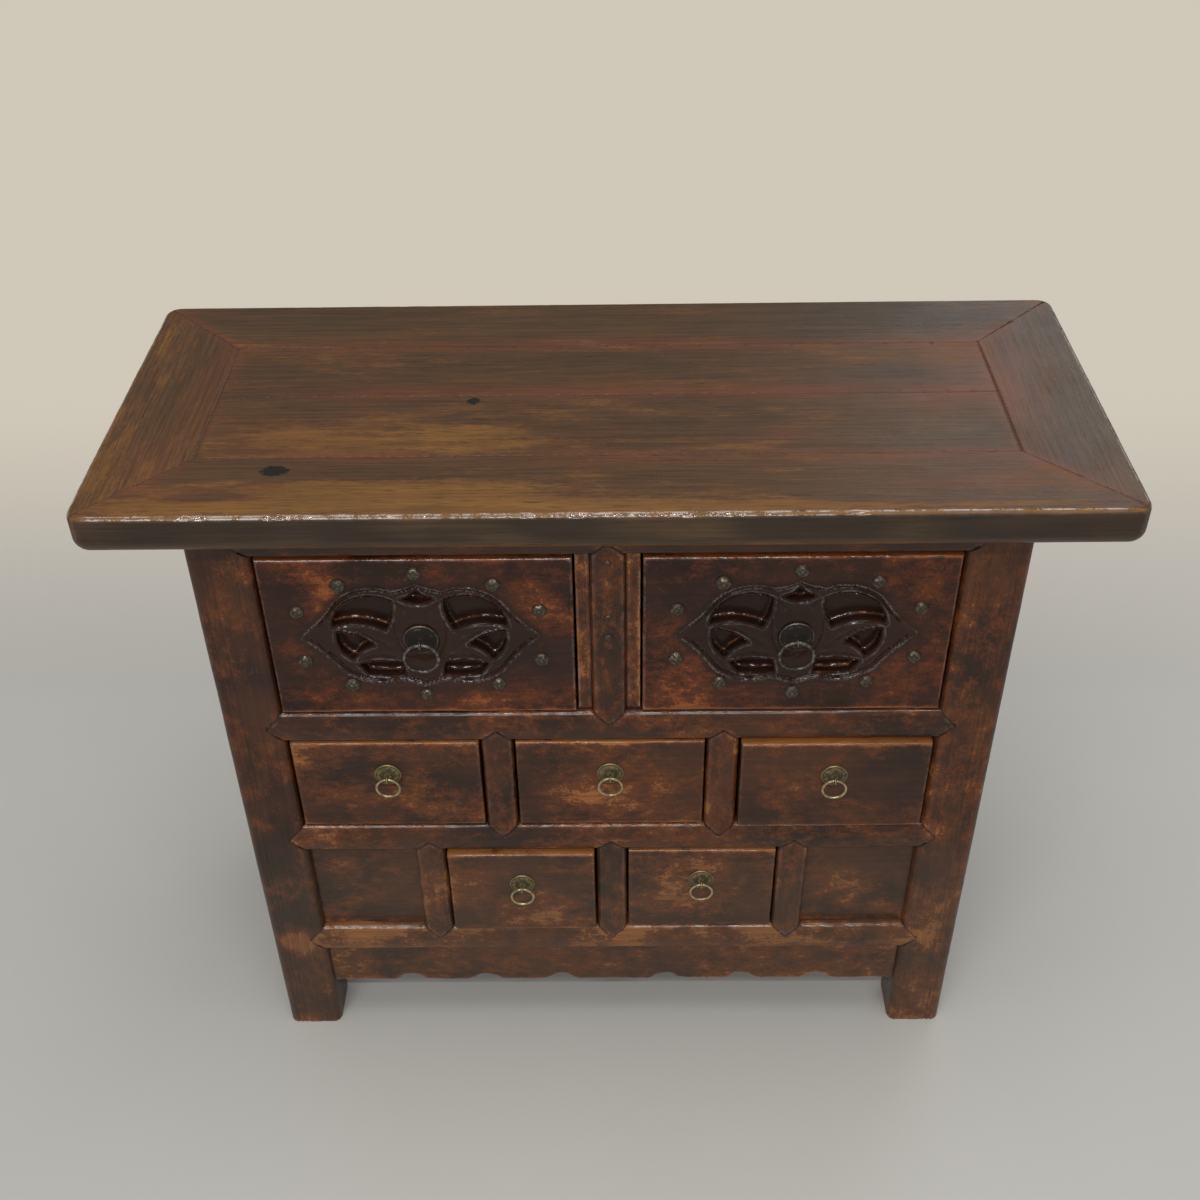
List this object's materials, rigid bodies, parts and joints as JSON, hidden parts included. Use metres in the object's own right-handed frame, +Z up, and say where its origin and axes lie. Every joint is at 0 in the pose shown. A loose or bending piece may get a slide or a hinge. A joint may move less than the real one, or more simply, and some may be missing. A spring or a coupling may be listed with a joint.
{
  "type": "chest of drawers",
  "caption": "Low elm chest of drawers with a mitred overhanging top, moulded legs, carved upper drawer fronts, ring pulls and a scalloped apron.",
  "frame": {"origin": "on the floor, under the middle of the top", "axes": "+X along the chest to its right end as seen from the front, +Y to the back, +Z up"},
  "size_m": [1.056, 0.444, 0.85],
  "materials": {
    "lacquered_elm": "aged dark lacquer, worn",
    "bare_elm": "bare, aged",
    "iron": "dark, worn",
    "brass": "tarnished"
  },
  "bodies": {
    "carcass": {"top_front_rail": "lacquered_elm", "top_rear_rail": "lacquered_elm", "top_left_end": "lacquered_elm", "top_right_end": "lacquered_elm", "top_board_front": "lacquered_elm", "top_board_rear": "lacquered_elm", "top_battens": "bare_elm", "front_rail_top": "lacquered_elm", "front_rail_upper": "lacquered_elm", "front_rail_middle": "lacquered_elm", "front_rail_lower": "lacquered_elm", "upper_divider": "lacquered_elm", "middle_dividers": "lacquered_elm", "lower_dividers": "lacquered_elm", "upper_divider_strips": "lacquered_elm", "upper_divider_nails": "iron", "fixed_panels": "lacquered_elm", "apron": "lacquered_elm", "leg_front_left": "lacquered_elm", "leg_front_right": "lacquered_elm", "leg_rear_left": "lacquered_elm", "leg_rear_right": "lacquered_elm", "side_panel_left": "lacquered_elm", "side_panel_right": "lacquered_elm", "side_rails": "lacquered_elm", "rear_rails": "bare_elm", "back_boards": "bare_elm", "drawer_runners": "bare_elm", "drawer_guides": "bare_elm"},
    "upper_left_drawer": {"upper_left_drawer_front": "lacquered_elm", "upper_left_drawer_box": "bare_elm", "upper_left_pull": "iron", "upper_left_studs": "iron"},
    "upper_left_ring": {"upper_left_ring": "iron"},
    "upper_right_drawer": {"upper_right_drawer_front": "lacquered_elm", "upper_right_drawer_box": "bare_elm", "upper_right_pull": "iron", "upper_right_studs": "iron"},
    "upper_right_ring": {"upper_right_ring": "iron"},
    "middle_left_drawer": {"middle_left_drawer_front": "lacquered_elm", "middle_left_drawer_box": "bare_elm", "middle_left_pull": "brass"},
    "middle_left_ring": {"middle_left_ring": "brass"},
    "middle_centre_drawer": {"middle_centre_drawer_front": "lacquered_elm", "middle_centre_drawer_box": "bare_elm", "middle_centre_pull": "brass"},
    "middle_centre_ring": {"middle_centre_ring": "brass"},
    "middle_right_drawer": {"middle_right_drawer_front": "lacquered_elm", "middle_right_drawer_box": "bare_elm", "middle_right_pull": "brass"},
    "middle_right_ring": {"middle_right_ring": "brass"},
    "lower_left_drawer": {"lower_left_drawer_front": "lacquered_elm", "lower_left_drawer_box": "bare_elm", "lower_left_pull": "brass"},
    "lower_left_ring": {"lower_left_ring": "brass"},
    "lower_right_drawer": {"lower_right_drawer_front": "lacquered_elm", "lower_right_drawer_box": "bare_elm", "lower_right_pull": "brass"},
    "lower_right_ring": {"lower_right_ring": "brass"}
  },
  "joints": [
    {"name": "upper_left_drawer_slide", "type": "slide", "parent": "carcass", "child": "upper_left_drawer", "axis": [0, -1, 0], "range_m": [0, 0.26]},
    {"name": "upper_left_ring_swing", "type": "hinge", "parent": "upper_left_drawer", "child": "upper_left_ring", "pos_m": [-0.1995, -0.1926, 0.663], "axis": [-1, 0, 0], "range_deg": [-8, 150]},
    {"name": "upper_right_drawer_slide", "type": "slide", "parent": "carcass", "child": "upper_right_drawer", "axis": [0, -1, 0], "range_m": [0, 0.26]},
    {"name": "upper_right_ring_swing", "type": "hinge", "parent": "upper_right_drawer", "child": "upper_right_ring", "pos_m": [0.1995, -0.1926, 0.663], "axis": [-1, 0, 0], "range_deg": [-8, 150]},
    {"name": "middle_left_drawer_slide", "type": "slide", "parent": "carcass", "child": "middle_left_drawer", "axis": [0, -1, 0], "range_m": [0, 0.26]},
    {"name": "middle_left_ring_swing", "type": "hinge", "parent": "middle_left_drawer", "child": "middle_left_ring", "pos_m": [-0.25533, -0.1911, 0.462], "axis": [-1, 0, 0], "range_deg": [-8, 150]},
    {"name": "middle_centre_drawer_slide", "type": "slide", "parent": "carcass", "child": "middle_centre_drawer", "axis": [0, -1, 0], "range_m": [0, 0.26]},
    {"name": "middle_centre_ring_swing", "type": "hinge", "parent": "middle_centre_drawer", "child": "middle_centre_ring", "pos_m": [0, -0.1911, 0.462], "axis": [-1, 0, 0], "range_deg": [-8, 150]},
    {"name": "middle_right_drawer_slide", "type": "slide", "parent": "carcass", "child": "middle_right_drawer", "axis": [0, -1, 0], "range_m": [0, 0.26]},
    {"name": "middle_right_ring_swing", "type": "hinge", "parent": "middle_right_drawer", "child": "middle_right_ring", "pos_m": [0.25533, -0.1971, 0.462], "axis": [-1, 0, 0], "range_deg": [-8, 150]},
    {"name": "lower_left_drawer_slide", "type": "slide", "parent": "carcass", "child": "lower_left_drawer", "axis": [0, -1, 0], "range_m": [0, 0.26]},
    {"name": "lower_left_ring_swing", "type": "hinge", "parent": "lower_left_drawer", "child": "lower_left_ring", "pos_m": [-0.109, -0.1971, 0.2795], "axis": [-1, 0, 0], "range_deg": [-8, 150]},
    {"name": "lower_right_drawer_slide", "type": "slide", "parent": "carcass", "child": "lower_right_drawer", "axis": [0, -1, 0], "range_m": [0, 0.26]},
    {"name": "lower_right_ring_swing", "type": "hinge", "parent": "lower_right_drawer", "child": "lower_right_ring", "pos_m": [0.109, -0.1911, 0.2795], "axis": [-1, 0, 0], "range_deg": [-8, 150]}
  ]
}
